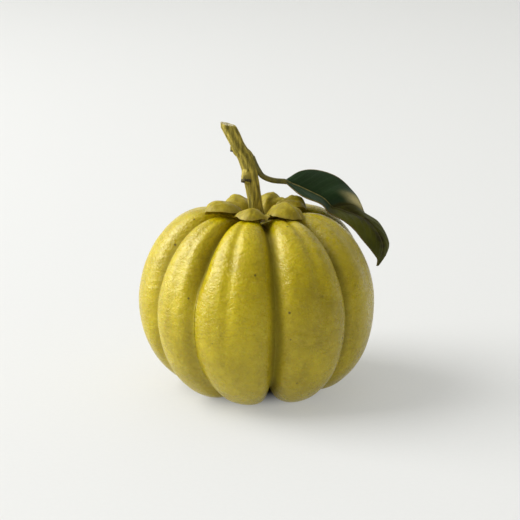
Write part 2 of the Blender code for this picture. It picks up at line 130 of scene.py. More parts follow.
# A crease beside the keel, near the tip: its depth as a share of the thickness, its place and breadth across the
# sepal, and the shares of the length between which it sets in.
SEPAL_CREASE = 0.12
SEPAL_CREASE_ACROSS = 0.25
SEPAL_CREASE_BREADTH = 0.1
SEPAL_CREASE_RISE = (0.55, 0.9)
SEPAL_WIDEST = 0.45
# Sepals: name, azimuth of the middle, reach from the stem's axis, width, thickness, rise of the tip.
SEPALS = (
    ("sepal_front", -10.0, 17.6 * MM, 12.5 * MM, 2.9 * MM, 0.3 * MM),
    ("sepal_front_right", 42.0, 17.8 * MM, 13.5 * MM, 4.0 * MM, 0.0 * MM),
    ("sepal_back_right", 103.0, 15.2 * MM, 12.0 * MM, 4.2 * MM, 0.8 * MM),
    ("sepal_back", 157.0, 15.0 * MM, 12.0 * MM, 4.8 * MM, 0.0 * MM),
    ("sepal_back_left", -136.0, 14.5 * MM, 12.5 * MM, 4.0 * MM, 0.3 * MM),
    ("sepal_left", -58.0, 18.8 * MM, 13.0 * MM, 3.3 * MM, 1.7 * MM),
)

# Twig: right of the axis, height above its foot, radius.
TWIG_LINE = (
    (0.0 * MM, 0.0 * MM, 2.4 * MM),
    (-0.8 * MM, 3.0 * MM, 2.25 * MM),
    (-1.4 * MM, 7.5 * MM, 2.2 * MM),
    (-2.1 * MM, 11.8 * MM, 2.2 * MM),
    (-3.0 * MM, 16.2 * MM, 2.3 * MM),
    (-4.3 * MM, 19.8 * MM, 2.2 * MM),
    (-6.2 * MM, 23.0 * MM, 1.95 * MM),
    (-7.7 * MM, 26.2 * MM, 1.9 * MM),
    (-9.8 * MM, 30.4 * MM, 1.95 * MM),
)
# The slanting cut: how much higher its left side lies than its right one, and how far it lies below the line's end.
TWIG_CUT_RISE = 1.0 * MM
TWIG_TOP_DROP = 0.05 * MM
# The bark widens towards the cut by a share of the radius, between these shares of the twig's length.
TWIG_FLARE = 0.13
TWIG_FLARE_RISE = (0.62, 0.95)
# Ribs of the bark: how many run up the twig, their height as a share of its radius, their twist from ring to ring.
BARK_RIBS = ((7, 0.045, 0.05), (3, 0.03, -0.03))
BARK_LUMPS = 0.05
BARK_LUMP_LENGTH = 6 * MM
BARK_LUMPS_AROUND = 1.7
# Bumps on the twig: height above its foot, azimuth around it, how far it stands out, height and breadth.
TWIG_BUMPS = (
    (14.3 * MM, -45.0, 0.9 * MM, 5.0 * MM, 75.0),
    (22.6 * MM, -80.0, 0.4 * MM, 2.6 * MM, 70.0),
    (19.0 * MM, 90.0, 0.5 * MM, 4.6 * MM, 90.0),
)
BUMP_ROUNDING = 0.7
# Torn fibres of the cut: shares of its radius where its inner rings lie, height and size of the fibres.
CUT_RINGS = (0.85, 0.6, 0.3)
CUT_FIBRES = 0.25 * MM
CUT_FIBRE_SIZE = 0.7 * MM
# Broken side shoots: name, heights of the top and of the blunt end above the twig's foot, azimuth around it,
# radius, and how far out of the bark the middle of the blunt end lies.
STUBS = (
    ("lower_stub", 17.2 * MM, 12.6 * MM, -32, 1.55 * MM, 0.91 * MM),
    ("upper_stub", 24.6 * MM, 21.8 * MM, -85, 1.0 * MM, 0.2625 * MM),
)
STUB_SINK = 0.9
STUB_START_SHARE = 0.45
STUB_SWELL_RATE = 1.6
STUB_RIBS = (5, 0.06, 0.4)
# Hollow of a stub's end: shares of its radius, each with its share of the hollow's depth.
STUB_HOLLOW = ((1, 0), (0.8, 0.3), (0.4, 1))
STUB_HOLLOW_DEPTH = 0.3 * MM

CLEARANCE = 0.3 * MM
STALK_HEIGHT = 16.2 * MM
# Leaf stalk: right of, behind and above the place where it springs, and its radius.
STALK_LINE = (
    (-1.9 * MM, -0.1 * MM, 2.9 * MM, 1.3 * MM),
    (-1.0 * MM, 0.0 * MM, 1.0 * MM, 1.15 * MM),
    (0.3 * MM, 0.2 * MM, -1.2 * MM, 0.95 * MM),
    (1.9 * MM, 0.8 * MM, -3.3 * MM, 0.85 * MM),
    (4.9 * MM, 2.0 * MM, -4.8 * MM, 0.85 * MM),
    (8.6 * MM, 3.0 * MM, -5.4 * MM, 0.85 * MM),
)
# The stalk runs on under the blade for this many of its sections, down to this radius.
STALK_RUN_ON = 9
STALK_END_RADIUS = 0.35 * MM
# Leaf: its midrib, right of, behind and above the stalk's end, and its margins, measured from the midrib.
LEAF_MIDRIB = (
    (5.1 * MM, 1.0 * MM, -2.1 * MM),
    (10.4 * MM, 2.0 * MM, -5.1 * MM),
    (14.8 * MM, 2.0 * MM, -8.2 * MM),
    (19.8 * MM, 2.0 * MM, -10.2 * MM),
    (25.0 * MM, 2.0 * MM, -12.4 * MM),
    (29.0 * MM, 2.0 * MM, -16.2 * MM),
    (31.2 * MM, 1.2 * MM, -20.6 * MM),
    (30.8 * MM, 0.4 * MM, -24.4 * MM),
    (29.8 * MM, 0.0 * MM, -27.6 * MM),
)
LEAF_NEAR_MARGIN = (
    (0.0 * MM, -5.6 * MM, -1.3 * MM),
    (0.2 * MM, -7.4 * MM, -0.95 * MM),
    (-0.6 * MM, -6.8 * MM, -0.7 * MM),
    (-1.9 * MM, -6.4 * MM, -1.2 * MM),
    (-2.7 * MM, -5.6 * MM, -2.9 * MM),
    (-3.2 * MM, -4.2 * MM, -3.5 * MM),
    (-3.0 * MM, -2.4 * MM, -2.7 * MM),
    (-1.2 * MM, -0.9 * MM, -1.0 * MM),
    (-0.3 * MM, -0.2 * MM, 0.0 * MM),
)
LEAF_FAR_MARGIN = (
    (0.1 * MM, 5.0 * MM, 4.2 * MM),
    (0.6 * MM, 8.0 * MM, 6.8 * MM),
    (2.4 * MM, 9.0 * MM, 7.2 * MM),
    (2.7 * MM, 8.0 * MM, 4.2 * MM),
    (0.2 * MM, 6.0 * MM, 1.4 * MM),
    (1.6 * MM, 4.2 * MM, 0.8 * MM),
    (2.5 * MM, 2.8 * MM, -0.4 * MM),
    (1.4 * MM, 1.2 * MM, -0.6 * MM),
    (0.3 * MM, 0.2 * MM, 0.0 * MM),
)
LEAF_FAR_SHARE = 0.96
LEAF_THICKNESS = 0.35 * MM
LEAF_SKIN_GAP = 0.3 * MM
LEAF_ARCH = 0.06
LEAF_WAVE = 0.25 * MM
LEAF_WAVES = 7
TROUGH_DEPTH = 0.25 * MM
TROUGH_BREADTH = 0.10
TROUGH_TAPER = 1.15
# Side veins: how many leave the midrib and how many of their spaces each runs up on its way to the margin. The
# blade bulges between them: how high, and how far along it the bulges slant.
VEIN_PAIRS = 26
VEIN_SLANT = 4.2
QUILT_HEIGHT = 0.05 * MM
QUILT_SLANT = 0.16
RIB_LIFT = 0.12 * MM
RIB_RADIUS = 0.34 * MM
RIB_TAPER = 0.75
RIB_END_ROWS = 3

# The blade is bent sharply: where the fold crosses the midrib, and how far on it is at the far and near margins, as
# shares of the blade's length. A pair is a place, counted from the fold, and a breadth.
FOLD_AT = 0.335
FOLD_FAR = 0.245
FOLD_NEAR = 0.03
FOLD_EDGE = 0.012
FOLD_ROLL = 0.9 * MM
FOLD_ROLL_PLACE = (-0.07, 0.06)
FOLD_CREASE = 0.9 * MM
FOLD_CREASE_PLACE = (0.012, 0.028)
FOLD_SHADE_PLACE = (0.02, 0.05)
# The near half is bent less: its share, and the places across the blade between which the whole bend sets in.
FOLD_NEAR_SHARE = 0.35
FOLD_HALF = (-0.3, 0.5)
# Painted highlight, pale grey, just before the fold on the far half: place and breadth, then where it sets in.
SHEEN_PLACE = (-0.03, 0.045)
SHEEN_HALF = (0.3, 0.65)
RIB_BEND = (FOLD_AT - 0.03, FOLD_AT + 0.02)

SCAR_RAYS = 8
SCAR_ENDS = 0.03

# Daylight from a window on the left, aimed at the fruit's middle: degrees, metres and watts.
WINDOW_AZIMUTH = -95
WINDOW_ELEVATION = 36
WINDOW_DISTANCE = 1.6
WINDOW_WIDTH = 1.35
WINDOW_HEIGHT = 1.4
WINDOW_POWER = 43.0
WINDOW_TINT = (0.99, 0.99, 1.0)
# Light that the room gives back: strength and tint at the far left and back, and at the far right and front.
ROOM_LIGHT_LEFT = 0.76
ROOM_LIGHT_RIGHT = 0.36
ROOM_TINT_LEFT = (0.98, 0.99, 1.0, 1.0)
ROOM_TINT_RIGHT = (1.0, 0.95, 0.76, 1.0)
ROOM_WARMS_FROM = -0.4
ROOM_WARM_AT = 0.6

# Painted light: the floor glows a little and so lifts its shadows, except right under the fruit, where a
# painted shadow darkens it.
FLOOR_GLOW = 0.39
FLOOR_SHADE_RADIUS = 0.6 * FOOT_RADIUS
OPEN_FLOOR_RADIUS = 1.6 * FOOT_RADIUS
FLOOR_HALF_WIDTH = 3.0
FLOOR_HALF_DEPTH = 1.6
WALL_HEIGHT = 1.6
WALL_BEND = 0.5

CAMERA_ELEVATION = 16.5
CAMERA_DISTANCE = 457 * MM
CAMERA_AIM = (0.4 * MM, 0, 41.2 * MM)
CAMERA_LENS = 100
CAMERA_SENSOR = 36

# Mesh fineness.
STEPS_PER_LOBE = 48
PIT_STEPS = 22
FLANK_STEPS = 64
SEPAL_STEPS_LONG = 40
SEPAL_STEPS_ACROSS = 32
TWIG_STEPS = 24
TWIG_SIDES = 72
STUB_RINGS = 12
STUB_SIDES = 28
FINE_STEPS = 12
STALK_SIDES = 24
LEAF_STEPS = 20
LEAF_HALF_COLUMNS = 20
RIB_SIDES = 12
DRAPE_PASSES = 6
SCAR_RINGS = 18
SCAR_SIDES_PER_RAY = 8
WALL_BEND_STEPS = 16
TINY = 1e-9


def off_axis(height):
    """How far to the right of the stem's axis the body's middle lies at a height."""
    return BLOSSOM_END_SHIFT * np.maximum(0.0, 1 - height / EQUATOR_HEIGHT) ** 2


scar_low, scar_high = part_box("blossom_scar")
AXIS = Vector(
    (
        (scar_low[0] + scar_high[0]) / 2 - float(off_axis(BLOSSOM_PIT_DEPTH)),
        (scar_low[1] + scar_high[1]) / 2,
        0,
    )
)
TWIG_FOOT = Vector((AXIS.x, AXIS.y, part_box("twig")[0][2]))


# Shape helpers


def flank(steps, power):
    """(across, up) arrays of a quarter superellipse, from (1, 0) towards (0, 1)."""
    angle = np.arange(steps) / steps * math.pi / 2
    return np.cos(angle) ** (2 / power), np.sin(angle) ** (2 / power)


def meridian(widest, crest, floor, upper_power, lower_power):
    """(radius, height) arrays from the blossom pit round the flank to the stem pit."""
    share = np.arange(PIT_STEPS) / PIT_STEPS
    wave = (1 + np.cos(math.pi * share)) / 2
    stem_bottom = FRUIT_HEIGHT - STEM_PIT_DEPTH
    radii = [FOOT_RADIUS * share]
    heights = [floor + (BLOSSOM_PIT_DEPTH - floor) * wave]
    across, up = flank(FLANK_STEPS, lower_power)
    across, up = np.append(across[1:], 0.0)[::-1], np.append(up[1:], 1.0)[::-1]
    radii.append(FOOT_RADIUS + (widest - FOOT_RADIUS) * across)
    heights.append(EQUATOR_HEIGHT - (EQUATOR_HEIGHT - floor) * up)
    across, up = flank(FLANK_STEPS, upper_power)
    radii.append(CREST_RADIUS + (widest - CREST_RADIUS) * across)
    heights.append(EQUATOR_HEIGHT + (crest - EQUATOR_HEIGHT) * up)
    share = 1 - np.arange(PIT_STEPS + 1) / PIT_STEPS
    wave = (1 + np.cos(math.pi * share)) / 2
    radii.append(CREST_RADIUS * share)
    heights.append(crest - (crest - stem_bottom) * wave)
    return np.concatenate(radii), np.concatenate(heights)


def lobe_fullness(phase):
    """How far out a lobe stands: 0 in the grooves, at phase -1 and 1, and 1 on its ridge, with round valleys."""
    inside = 1 - abs(phase)
    arch = (1 - abs(phase) ** LOBE_ROUNDNESS) ** (1 / LOBE_ROUNDNESS)
    return arch * math.tanh(inside / VALLEY_ROUNDING)


def bell(value, middle, width):
    """1 at the middle, fading to about a third one width away from it."""
    return np.exp(-(((value - middle) / width) ** 2))


def smooth_step(value, low, high):
    """0 up to the low value and 1 from the high one on, with a soft rise between them."""
    share = np.clip((value - low) / (high - low), 0, 1)
    return share * share * (3 - 2 * share)
def smooth_line(points, steps):
    """Points on a Catmull-Rom curve through the given ones, steps between each pair, as an array."""
    points = [np.array(point, float) for point in points]
    padded = [points[0] * 2 - points[1], *points, points[-1] * 2 - points[-2]]
    line = []
    for i in range(len(points) - 1):
        p0, p1, p2, p3 = padded[i : i + 4]
        for step in range(steps):
            t = step / steps
            rise = (p2 - p0) * t
            bend = (p0 * 2 - p1 * 5 + p2 * 4 - p3) * t**2
            turn = (p1 * 3 - p0 - p2 * 3 + p3) * t**3
            line.append((p1 * 2 + rise + bend + turn) / 2)
    line.append(points[-1])
    return np.array(line)


def lumps(points, scale, seed):
    """Smooth noise from -1 to 1 at each point; scale is the size of a lump in metres."""
    offset = Vector((seed * 7.3, seed * 3.1, seed * 5.7))
    return np.array([noise.noise(Vector(p) / scale + offset) for p in points])


def add_piece(name, vertices, faces, material, replaced=None, slot=None, marks=None):
    """One visible piece of the object, smooth shaded, riding on the object's only body."""
    data = bpy.data.meshes.new(name)
    data.from_pydata([tuple(v) for v in vertices], [], faces)
    data.validate()
    made = bpy.data.objects.new(name, data)
    bpy.context.scene.collection.objects.link(made)
    sheet = bmesh.new()
    sheet.from_mesh(data)
    bmesh.ops.recalc_face_normals(sheet, faces=sheet.faces)
    sheet.to_mesh(data)
    sheet.free()
    data.shade_smooth()
    for mark, values in (marks or {}).items():
        layer = data.attributes.new(mark, "FLOAT", "POINT")
        layer.data.foreach_set("value", np.asarray(values, np.float32))
    data.materials.append(material)
    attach(made, "root")
    if replaced:
        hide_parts(replaced)
    return made


def grid_faces(rows, columns, closed_across=False):
    """Quads of a grid stored row by row."""
    faces = []
    last = columns if closed_across else columns - 1
    for i in range(rows - 1):
        for j in range(last):
            k = (j + 1) % columns
            faces.append((i * columns + j, i * columns + k, (i + 1) * columns + k, (i + 1) * columns + j))
    return faces


# Node helpers


class Nodes:
    """Builds the node tree of a material or a world with short calls."""

    def __init__(self, owner):
        owner.use_nodes = True
        self.owner = owner
        self.tree = owner.node_tree

    def add(self, kind, inputs=None, **settings):
        node = self.tree.nodes.new(kind)
        for key, value in settings.items():
            setattr(node, key, value)
        for key, value in (inputs or {}).items():
            self.feed(node.inputs[key], value)
        return node

    def feed(self, socket, value):
        if isinstance(value, bpy.types.NodeSocket):
            self.tree.links.new(value, socket)
        else:
            socket.default_value = value

    def mark(self, name):
        return self.add("ShaderNodeAttribute", attribute_name=name).outputs["Fac"]

    def place(self, stretch=(1, 1, 1)):
        spot = self.add("ShaderNodeTexCoord").outputs["Object"]
        return self.add("ShaderNodeMapping", {"Vector": spot, "Scale": stretch}).outputs["Vector"]

    def noise(self, scale, detail=3.0, rough=0.5, stretch=(1, 1, 1), distortion=0.0):
        made = {"Vector": self.place(stretch), "Scale": scale, "Detail": detail, "Roughness": rough}
        made["Distortion"] = distortion
        return self.add("ShaderNodeTexNoise", made).outputs["Fac"]

    def cells(self, scale, feature="F1"):
        made = {"Vector": self.place(), "Scale": scale}
        return self.add("ShaderNodeTexVoronoi", made, feature=feature).outputs["Distance"]

    def ramp(self, value, low, high, start=0.0, end=1.0, kind="SMOOTHSTEP"):
        made = {"Value": value, "From Min": low, "From Max": high, "To Min": start, "To Max": end}
        return self.add("ShaderNodeMapRange", made, interpolation_type=kind).outputs["Result"]

    def math(self, operation, a, b=0.0):
        return self.add("ShaderNodeMath", {0: a, 1: b}, operation=operation).outputs[0]

    def mix(self, share, a, b):
        """One colour mixed into another; inputs 6 and 7 and output 2 are the node's colour sockets."""
        return self.add("ShaderNodeMix", {0: share, 6: a, 7: b}, data_type="RGBA").outputs[2]

    def bump(self, height, depth, under=None):
        made = {"Height": height, "Distance": depth, "Strength": 1.0}
        if under:
            made["Normal"] = under
        return self.add("ShaderNodeBump", made).outputs["Normal"]

    def finish(self, node, **inputs):
        """Feeds a node that the tree came with; an input's name has underscores for its spaces."""
        for key, value in inputs.items():
            self.feed(self.tree.nodes[node].inputs[key.replace("_", " ")], value)
        return self.owner

    def surface(self, **inputs):
        return self.finish("Principled BSDF", **inputs)


def material_nodes(name):
    return Nodes(bpy.data.materials.new(name))


def linear_light(value):
    """Linear light of a screen value between 0 and 1, by the sRGB curve."""
    if value <= 0.04045:
        return value / 12.92
    return ((value + 0.055) / 1.055) ** 2.4


def color(*screen):
    """A colour named by its red, green and blue screen values, 0 to 255, as linear light."""
    return tuple(linear_light(value / 255) for value in screen) + (1.0,)


# Materials


def skin_material():
    n = material_nodes("fruit_skin")
    groove = n.mark("groove")
    height = n.mark("height")
    patches = n.noise(70, 4, 0.6)
    streaks = n.noise(160, 5, 0.65, stretch=(1, 1, 0.28))
    mottles = n.noise(520, 4, 0.7)
    base = n.mix(n.ramp(patches, 0.35, 0.68), color(188, 169, 0), color(170, 151, 0))
    base = n.mix(n.ramp(streaks, 0.42, 0.75, 0, 0.6), base, color(146, 128, 0))
    base = n.mix(n.ramp(mottles, 0.5, 0.66, 0, 0.35), base, color(196, 180, 40))
    base = n.mix(n.ramp(mottles, 0.46, 0.32, 0, 0.35), base, color(138, 122, 0))
    # Painted shade: the base darkens towards the bottom of the fruit.
    base = n.mix(n.ramp(height, 0.0, 0.3, 0.25, 0.0), base, color(148, 132, 0))
    # Painted shade: the base darkens towards the grooves.
    base = n.mix(n.ramp(groove, 0.0, 0.5, 0.7, 0.0), base, color(110, 98, 0))
    # Partly russet, partly a painted reflection: pale grey-tan patches on the shoulder beside the leaf.
    russet_and_painted_reflection = n.math("MULTIPLY", n.mark("russet_and_painted_reflection"), n.ramp(n.noise(900, 4, 0.7), 0.4, 0.6, 0, 0.8))
    base = n.mix(russet_and_painted_reflection, base, color(180, 166, 92))
    freckles = n.math("MULTIPLY", n.ramp(n.cells(950), 0.12, 0.05), n.ramp(n.noise(300, 2), 0.5, 0.6))
    base = n.mix(n.math("MULTIPLY", freckles, 0.5), base, color(100, 84, 10))
    specks = n.math("MULTIPLY", n.ramp(n.cells(210), 0.10, 0.06), n.ramp(n.noise(75, 2), 0.52, 0.56))
    base = n.mix(n.math("MULTIPLY", specks, 0.85), base, color(58, 46, 6))
    waxed = n.ramp(n.noise(220, 4, 0.6), 0.3, 0.7, 0.22, 0.34)
    rough = n.math("ADD", waxed, n.ramp(groove, 0.0, 0.5, 0.5, 0.0))
    wrinkle = n.noise(260, 6, 0.62, stretch=(1, 1, 1.9), distortion=0.6)
    folds = n.noise(620, 4, 0.6, stretch=(0.8, 0.8, 2.2), distortion=1.2)
    grain = n.cells(1500, "SMOOTH_F1")
    normal = n.bump(n.noise(90, 3, 0.5), 0.5 * MM)
    normal = n.bump(wrinkle, 0.5 * MM, normal)
    normal = n.bump(folds, 0.16 * MM, normal)
    normal = n.bump(grain, 0.07 * MM, normal)
    return n.surface(
        Base_Color=base,
        Roughness=rough,
        Normal=normal,
        Subsurface_Weight=0.06,
        Subsurface_Scale=1.5 * MM,
        Specular_IOR_Level=0.6,
        Specular_Tint=(1.0, 0.96, 0.72, 1.0),
        IOR=1.5,
    )


def sepal_material():
    n = material_nodes("sepal")
    rim = n.mark("rim")
    patches = n.noise(240, 5, 0.6)
    base = n.mix(n.ramp(patches, 0.35, 0.7), color(164, 147, 26), color(130, 114, 8))
    base = n.mix(n.ramp(n.noise(700, 4, 0.7), 0.52, 0.7, 0, 0.4), base, color(178, 164, 76))
    base = n.mix(n.ramp(n.noise(950, 4, 0.7), 0.56, 0.66, 0, 0.5), base, color(96, 84, 18))
    base = n.mix(n.ramp(rim, 0.8, 1.0, 0, 0.6), base, color(140, 124, 50))
    base = n.mix(n.ramp(rim, 0.35, 0.0, 0, 0.3), base, color(124, 114, 20))
    normal = n.bump(n.noise(420, 5, 0.6), 0.25 * MM)
    normal = n.bump(n.noise(1800, 3, 0.6), 0.06 * MM, normal)
    return n.surface(
        Base_Color=base,
        Roughness=0.5,
        Normal=normal,
        Subsurface_Weight=0.05,
        Subsurface_Scale=1.0 * MM,
        Specular_IOR_Level=0.35,
        Specular_Tint=(1.0, 0.94, 0.66, 1.0),
    )


def bark_material():
    n = material_nodes("bark")
    ridge = n.mark("ridge")
    along = n.noise(900, 5, 0.65, stretch=(1, 1, 0.16))
    base = n.mix(n.ramp(along, 0.35, 0.65), color(206, 186, 78), color(110, 100, 22))
    base = n.mix(n.ramp(ridge, 0.2, 0.9), n.mix(0.4, base, color(72, 66, 16)), base)
    base = n.mix(n.ramp(n.noise(1300, 4, 0.7), 0.58, 0.7, 0, 0.6), base, color(168, 152, 96))
    normal = n.bump(along, 0.35 * MM)
    normal = n.bump(n.noise(2600, 4, 0.7), 0.08 * MM, normal)
    return n.surface(Base_Color=base, Roughness=0.62, Normal=normal, Specular_IOR_Level=0.3)


def cut_material():
    n = material_nodes("cut_wood")
    fibres = n.noise(2200, 4, 0.7, stretch=(1, 1, 0.4))
    base = n.mix(n.ramp(fibres, 0.35, 0.65), color(214, 206, 168), color(150, 138, 88))
    return n.surface(Base_Color=base, Roughness=0.85, Normal=n.bump(fibres, 0.4 * MM))


def stub_end_material():
    n = material_nodes("stub_end")
    fibres = n.noise(1800, 4, 0.7)
    base = n.mix(n.ramp(fibres, 0.4, 0.7), color(46, 40, 12), color(96, 84, 34))
    return n.surface(Base_Color=base, Roughness=0.8, Normal=n.bump(fibres, 0.3 * MM))


def leaf_material():
    n = material_nodes("leaf")
    along = n.mark("along")
    bent = n.mark("bent")
    side = n.math("ABSOLUTE", n.mark("across"))
    slanted = n.math("SUBTRACT", n.math("MULTIPLY", along, VEIN_PAIRS), n.math("MULTIPLY", side, VEIN_SLANT))
    vein = n.ramp(n.math("PINGPONG", slanted, 0.5), 0.06, 0.0)
    faint = n.math("MULTIPLY", vein, n.ramp(side, 0.95, 0.2, 0.15, 1.0))
    patches = n.noise(160, 4, 0.6)
    upper = n.mix(n.ramp(patches, 0.3, 0.7), color(34, 56, 26), color(28, 50, 22))
    # Painted light: past the fold the leaf is olive, not dark green, for the warm light it gets from the fruit.
    olive_painted_light = n.mix(n.ramp(patches, 0.35, 0.65), color(80, 82, 8), color(62, 65, 4))
    base = n.mix(bent, upper, olive_painted_light)
    # Painted highlight: a pale grey sheen on the far half of the blade just before the fold.
    painted_sheen = n.math("MULTIPLY", n.mark("painted_sheen"), n.ramp(n.noise(500, 3), 0.3, 0.6, 0.7, 1.0))
    base = n.mix(painted_sheen, base, color(200, 190, 138))
    base = n.mix(n.math("MULTIPLY", faint, 0.14), base, color(74, 84, 34))
    # Painted shade: dark streaks along the midrib's crease past the fold.
    midrib_crease_shade = n.math("MULTIPLY", bent, n.ramp(side, 0.5, 0.1))
    streaks = n.ramp(n.noise(420, 4, 0.6, stretch=(0.5, 1, 1)), 0.4, 0.6, 0.3, 1.0)
    dark = n.math("MULTIPLY", midrib_crease_shade, streaks)
    base = n.mix(n.math("MULTIPLY", dark, 0.85), base, color(34, 28, 2))
    shaded = n.math("MULTIPLY", bent, n.mark("fold"))
    base = n.mix(n.math("MULTIPLY", shaded, 0.6), base, color(40, 38, 6))
    base = n.mix(n.ramp(side, 0.965, 0.99), base, color(120, 104, 54))
    normal = n.bump(vein, -0.05 * MM)
    normal = n.bump(n.noise(900, 3, 0.5), 0.05 * MM, normal)
    return n.surface(Base_Color=base, Roughness=0.42, Normal=normal, Specular_IOR_Level=0.14)


def midrib_material():
    n = material_nodes("midrib")
    base = n.mix(n.ramp(n.noise(700, 3), 0.4, 0.6), color(150, 136, 74), color(126, 114, 56))
    # Painted shade: the midrib darkens past the fold.
    base = n.mix(n.mark("bent"), base, color(66, 62, 12))
    return n.surface(Base_Color=base, Roughness=0.5)


def stalk_material():
    n = material_nodes("leaf_stalk")
    base = n.mix(n.ramp(n.noise(500, 4, 0.6), 0.4, 0.6), color(112, 104, 34), color(84, 80, 24))
    return n.surface(Base_Color=base, Roughness=0.5, Normal=n.bump(n.noise(1500, 3), 0.08 * MM))


def scar_material():
    n = material_nodes("blossom_scar")
    fibres = n.noise(900, 4, 0.7)
    base = n.mix(n.ramp(fibres, 0.4, 0.6), color(74, 56, 34), color(44, 32, 20))
    return n.surface(Base_Color=base, Roughness=0.85, Normal=n.bump(fibres, 0.4 * MM))


def floor_material():
    n = material_nodes("paper_floor")
    from_axis = n.add("ShaderNodeVectorMath", {0: n.place(), 1: tuple(AXIS)}, operation="DISTANCE")
    open_floor = n.ramp(from_axis.outputs["Value"], FLOOR_SHADE_RADIUS, OPEN_FLOOR_RADIUS)
    # Painted shadow: the paper darkens towards the fruit's foot. Painted light: it glows away from the fruit.
    paper = n.mix(n.noise(700, 4, 0.6), color(166, 166, 164), color(171, 171, 169))
    return n.surface(
        Base_Color=n.mix(open_floor, color(110, 104, 88), paper),
        Roughness=0.9,
        Emission_Color=color(238, 240, 240),
        Emission_Strength=n.math("MULTIPLY", open_floor, FLOOR_GLOW),
        Specular_IOR_Level=0.2,
    )


# Fruit


def lobe_columns(lobe, groove_radius, groove_height):
    """Columns of skin points across one lobe, from its left groove on, and how far out each one stands."""
    start = GROOVE_AZIMUTHS[lobe]
    width = (GROOVE_AZIMUTHS[(lobe + 1) % len(GROOVE_AZIMUTHS)] - start) % 360
    swell = LOBE_SWELLS[lobe]
    ridge_radius, ridge_height = meridian(
        FRUIT_WIDTH / 2 + swell,
        FRUIT_HEIGHT + swell,
        -FOOT_FLAT_SINK,
        UPPER_FLANK_POWER,
        LOWER_FLANK_POWER,
    )
    left_share = LOW_GROOVE_SHARES[lobe]
    right_share = LOW_GROOVE_SHARES[(lobe + 1) % len(LOW_GROOVE_SHARES)]
    dent_phase, dent_depth, dent_width = LOBE_DENTS[lobe]
    columns = []
    fullness = []
    for step in range(STEPS_PER_LOBE):
        phase = -math.cos(math.pi * step / STEPS_PER_LOBE)
        azimuth = math.radians(start + width * (1 + phase) / 2)
        hollow = 1 - lobe_fullness(phase)
        keep = left_share * (1 - phase) / 2 + right_share * (1 + phase) / 2
        keep = keep + (1 - keep) * smooth_step(ridge_height / FRUIT_HEIGHT, LOW_GROOVES_UP_TO, FULL_GROOVES_FROM)
        radius = ridge_radius - (ridge_radius - groove_radius) * hollow * keep
        height = np.maximum(0.0, ridge_height - (ridge_height - groove_height) * hollow * keep)
        upper = smooth_step(height, DENT_START_HEIGHT, DENT_FULL_HEIGHT)
        upper = upper * smooth_step(radius, DENT_END_RADIUS, CREST_RADIUS)
        dent = dent_depth * bell(phase, dent_phase, dent_width) * upper
        radius = radius - dent
        height = height - dent * DENT_DROP_SHARE
        right = radius * math.sin(azimuth) + off_axis(height)
        columns.append(np.stack([right, -radius * math.cos(azimuth), height], axis=1))
        fullness.append(1 - hollow * keep)
    return columns, fullness


def outward_normals(points):
    """Unit normals of the skin's grid of points, facing away from the fruit's middle."""
    across = np.roll(points, -1, axis=1) - np.roll(points, 1, axis=1)
    along = np.gradient(points, axis=0)
    normals = np.cross(across, along)
    lengths = np.linalg.norm(normals, axis=2, keepdims=True)
    normals = normals / np.maximum(lengths, TINY * MM)
    outward = points - np.array([0, 0, EQUATOR_HEIGHT])
    return normals * np.sign(np.sum(normals * outward, axis=2, keepdims=True))


def lumpy_skin(points):
    """The grid of skin points, sunk inside the CAD by the margin and the lumps, with each end in one point."""
    flat = points.reshape(-1, 3)
    rough = sum(share * lumps(flat, size, seed) for seed, (size, share) in enumerate(SKIN_LUMP_SIZES, 1))
    rough = rough.reshape(points.shape[:2])
    free = smooth_step(points[:, :, 2], SKIN_HELD_UP_TO, SKIN_FREE_FROM)
    sunk = (SKIN_MARGIN + SKIN_LUMPS * (0.5 + 0.5 * rough)) * free
    points = points - outward_normals(points) * sunk[:, :, None]
    points[0] = points[0].mean(axis=0)
    points[-1] = points[-1].mean(axis=0)
    return points


def fruit_piece(material):
    groove_radius, groove_height = meridian(
        FRUIT_WIDTH / 2 - GROOVE_DEPTH,
        FRUIT_HEIGHT - GROOVE_CREST_DROP,
        GROOVE_FOOT_RISE,
        GROOVE_FLANK_POWER,
        GROOVE_FLANK_POWER,
    )
    columns = []
    fullness = []
    for lobe in range(len(GROOVE_AZIMUTHS)):
        lobe_points, lobe_shares = lobe_columns(lobe, groove_radius, groove_height)
        columns += lobe_points
        fullness += lobe_shares
    points = lumpy_skin(np.stack(columns, axis=1))
    rows, count = points.shape[:2]
    vertices = points.reshape(-1, 3) + np.array([AXIS.x, AXIS.y, 0])
    faces = grid_faces(rows, count, closed_across=True)
    groove = np.stack(fullness, axis=1)
    height = points[:, :, 2] / FRUIT_HEIGHT
    azimuths = np.arctan2(points[:, :, 0], -points[:, :, 1])
    russet_and_painted_reflection = bell(azimuths, math.radians(RUSSET_AZIMUTH), math.radians(RUSSET_BREADTH))
    russet_and_painted_reflection = russet_and_painted_reflection * smooth_step(height, *RUSSET_RISE)
    marks = {"groove": groove.ravel(), "height": height.ravel(), "russet_and_painted_reflection": russet_and_painted_reflection.ravel()}
    return add_piece("fruit_body", vertices, faces, material, "fruit", "fruit_skin", marks)


# Sepals


def sepal_room(azimuth, side):
    """Angle from a sepal's middle to the plane halfway to its neighbour on one side (-1 left, 1 right)."""
    turns = [(side * (other[1] - azimuth)) % 360 for other in SEPALS]
    return math.radians(min(turn for turn in turns if turn > TINY) / 2)


def bridged_height(skin, spot):
    """Height of the skin's high points around a spot: a sepal lies across a groove and doesn't dip into it."""
    feelers = [(SEPAL_BRIDGE, 2 * math.pi * k / SEPAL_FEELERS) for k in range(SEPAL_FEELERS)]
    heights = []
    for reach, turn in [(0.0, 0.0), *feelers]:
        above = Vector((spot.x + reach * math.cos(turn), spot.y + reach * math.sin(turn), 2 * FRUIT_HEIGHT))
        heights.append(skin.ray_cast(above, Vector((0, 0, -1)))[0].z)
    return max(heights)


